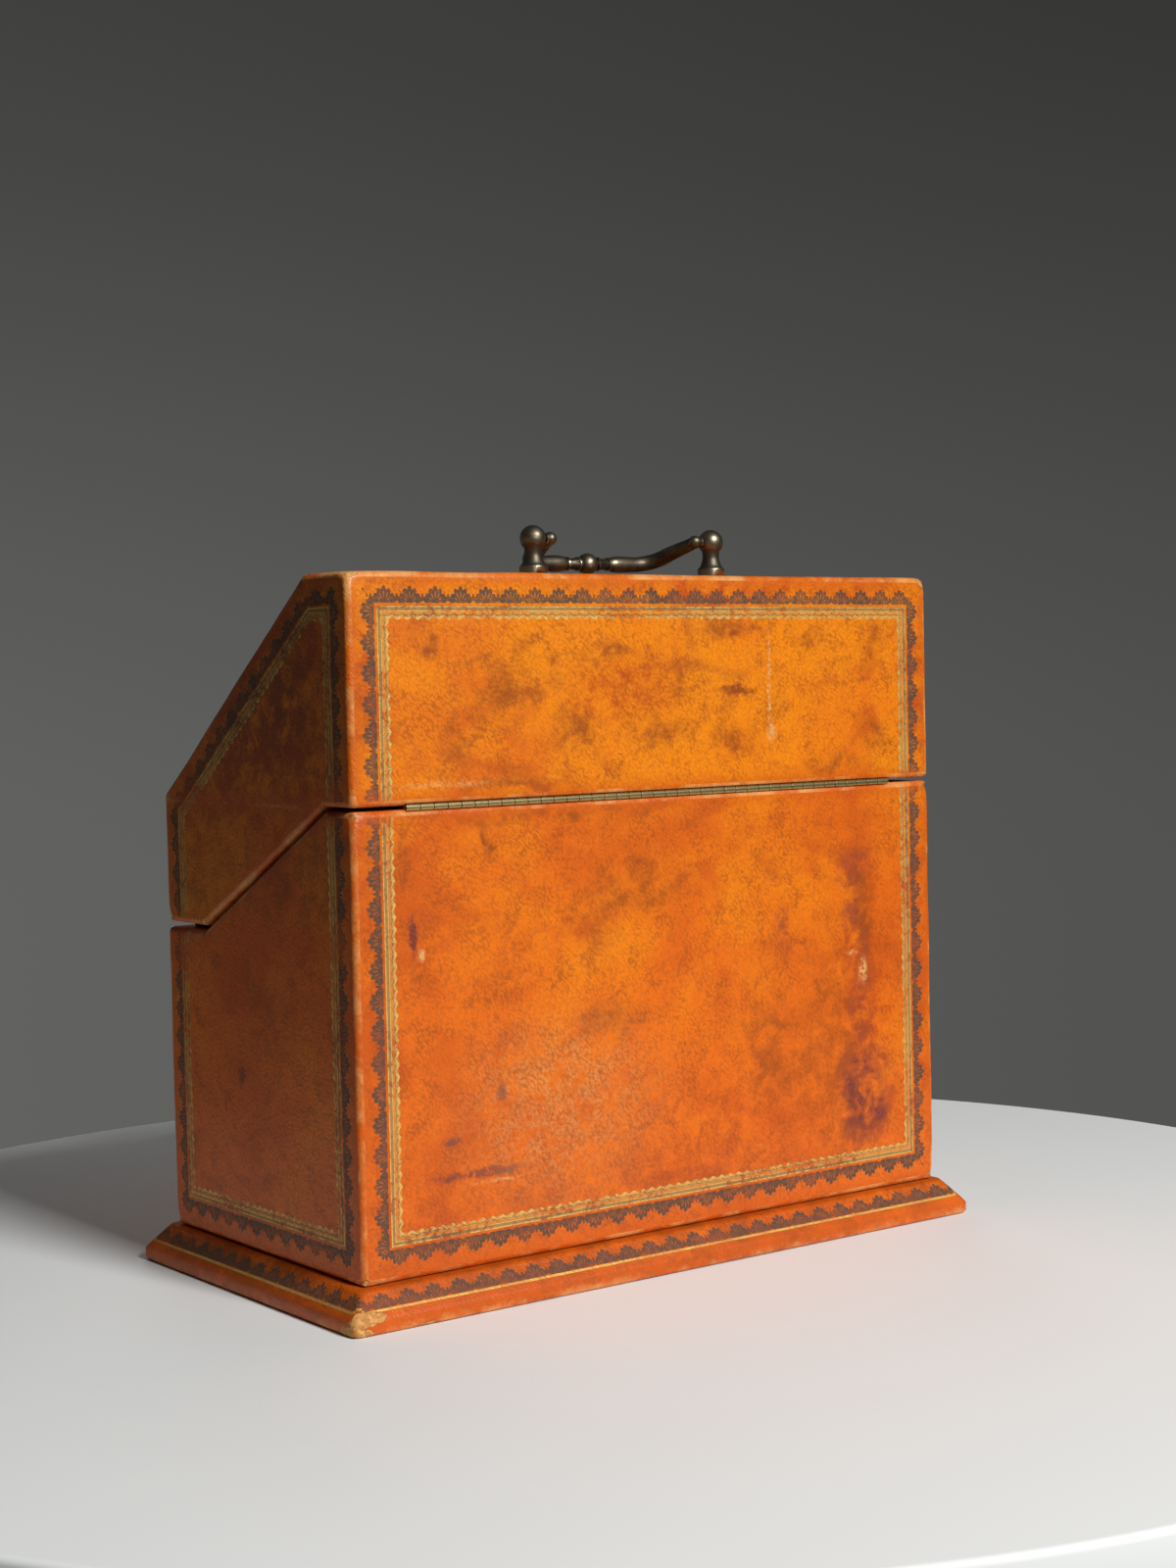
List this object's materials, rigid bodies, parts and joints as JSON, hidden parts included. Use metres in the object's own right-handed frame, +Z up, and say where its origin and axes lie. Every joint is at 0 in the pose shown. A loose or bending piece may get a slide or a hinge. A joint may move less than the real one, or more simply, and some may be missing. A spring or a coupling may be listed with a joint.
{
  "type": "stationery box",
  "caption": "Leather-covered stationery box with a sloping hinged lid, a swinging bail handle, a moulded plinth and graduated dividers for paper and envelopes.",
  "frame": {"origin": "centre of the underside of the base pad, on the surface that the box stands on", "axes": "+Z up, +Y towards the hinged back, +X towards the right-hand side seen from the front"},
  "size_m": [0.257, 0.138, 0.244],
  "materials": {
    "calf_leather": "polished tan calf with worn edges, blind and gilt tooled borders",
    "carcass_wood": "plain sawn softwood",
    "base_felt": "dark green felt",
    "silk_lining": "watered silk over card",
    "hinge_brass": "old lacquered brass",
    "handle_bronze": "dark bronzed brass, rubbed bright",
    "nut_steel": "plain steel"
  },
  "bodies": {
    "body": {"plinth_core": "carcass_wood", "plinth_leather": "calf_leather", "base_pad": "base_felt", "body_floor": "carcass_wood", "body_back_board": "carcass_wood", "body_front_board": "carcass_wood", "body_left_board": "carcass_wood", "body_right_board": "carcass_wood", "body_leather": "calf_leather", "lining_back": "silk_lining", "lining_front": "silk_lining", "lining_left": "silk_lining", "lining_right": "silk_lining", "lining_floor": "silk_lining", "divider_back": "silk_lining", "divider_middle": "silk_lining", "divider_front": "silk_lining", "hinge_body_leaf": "hinge_brass", "hinge_pin": "hinge_brass", "hinge_body_nail_1": "hinge_brass", "hinge_body_nail_2": "hinge_brass", "hinge_body_nail_3": "hinge_brass", "hinge_body_nail_4": "hinge_brass", "hinge_body_nail_5": "hinge_brass"},
    "lid": {"lid_back_board": "carcass_wood", "lid_top_board": "carcass_wood", "lid_slope_board": "carcass_wood", "lid_front_board": "carcass_wood", "lid_left_board": "carcass_wood", "lid_right_board": "carcass_wood", "lid_leather": "calf_leather", "lid_lining_band": "silk_lining", "lid_lining_left": "silk_lining", "lid_lining_right": "silk_lining", "hinge_lid_leaf": "hinge_brass", "hinge_lid_nail_1": "hinge_brass", "hinge_lid_nail_2": "hinge_brass", "hinge_lid_nail_3": "hinge_brass", "hinge_lid_nail_4": "hinge_brass", "hinge_lid_nail_5": "hinge_brass", "handle_post_left": "handle_bronze", "handle_post_right": "handle_bronze", "handle_nut_left": "nut_steel", "handle_nut_right": "nut_steel", "handle_washer_left": "nut_steel", "handle_washer_right": "nut_steel"},
    "bail": {"bail_handle": "handle_bronze"}
  },
  "joints": [
    {"name": "lid_hinge", "type": "hinge", "parent": "body", "child": "lid", "pos_m": [0, 0.0593, 0.15605], "axis": [-1, 0, 0], "range_deg": [0, 110]},
    {"name": "bail_swing", "type": "hinge", "parent": "lid", "child": "bail", "pos_m": [0, 0.0408, 0.2397], "axis": [-1, 0, 0], "range_deg": [-24, 220]}
  ]
}
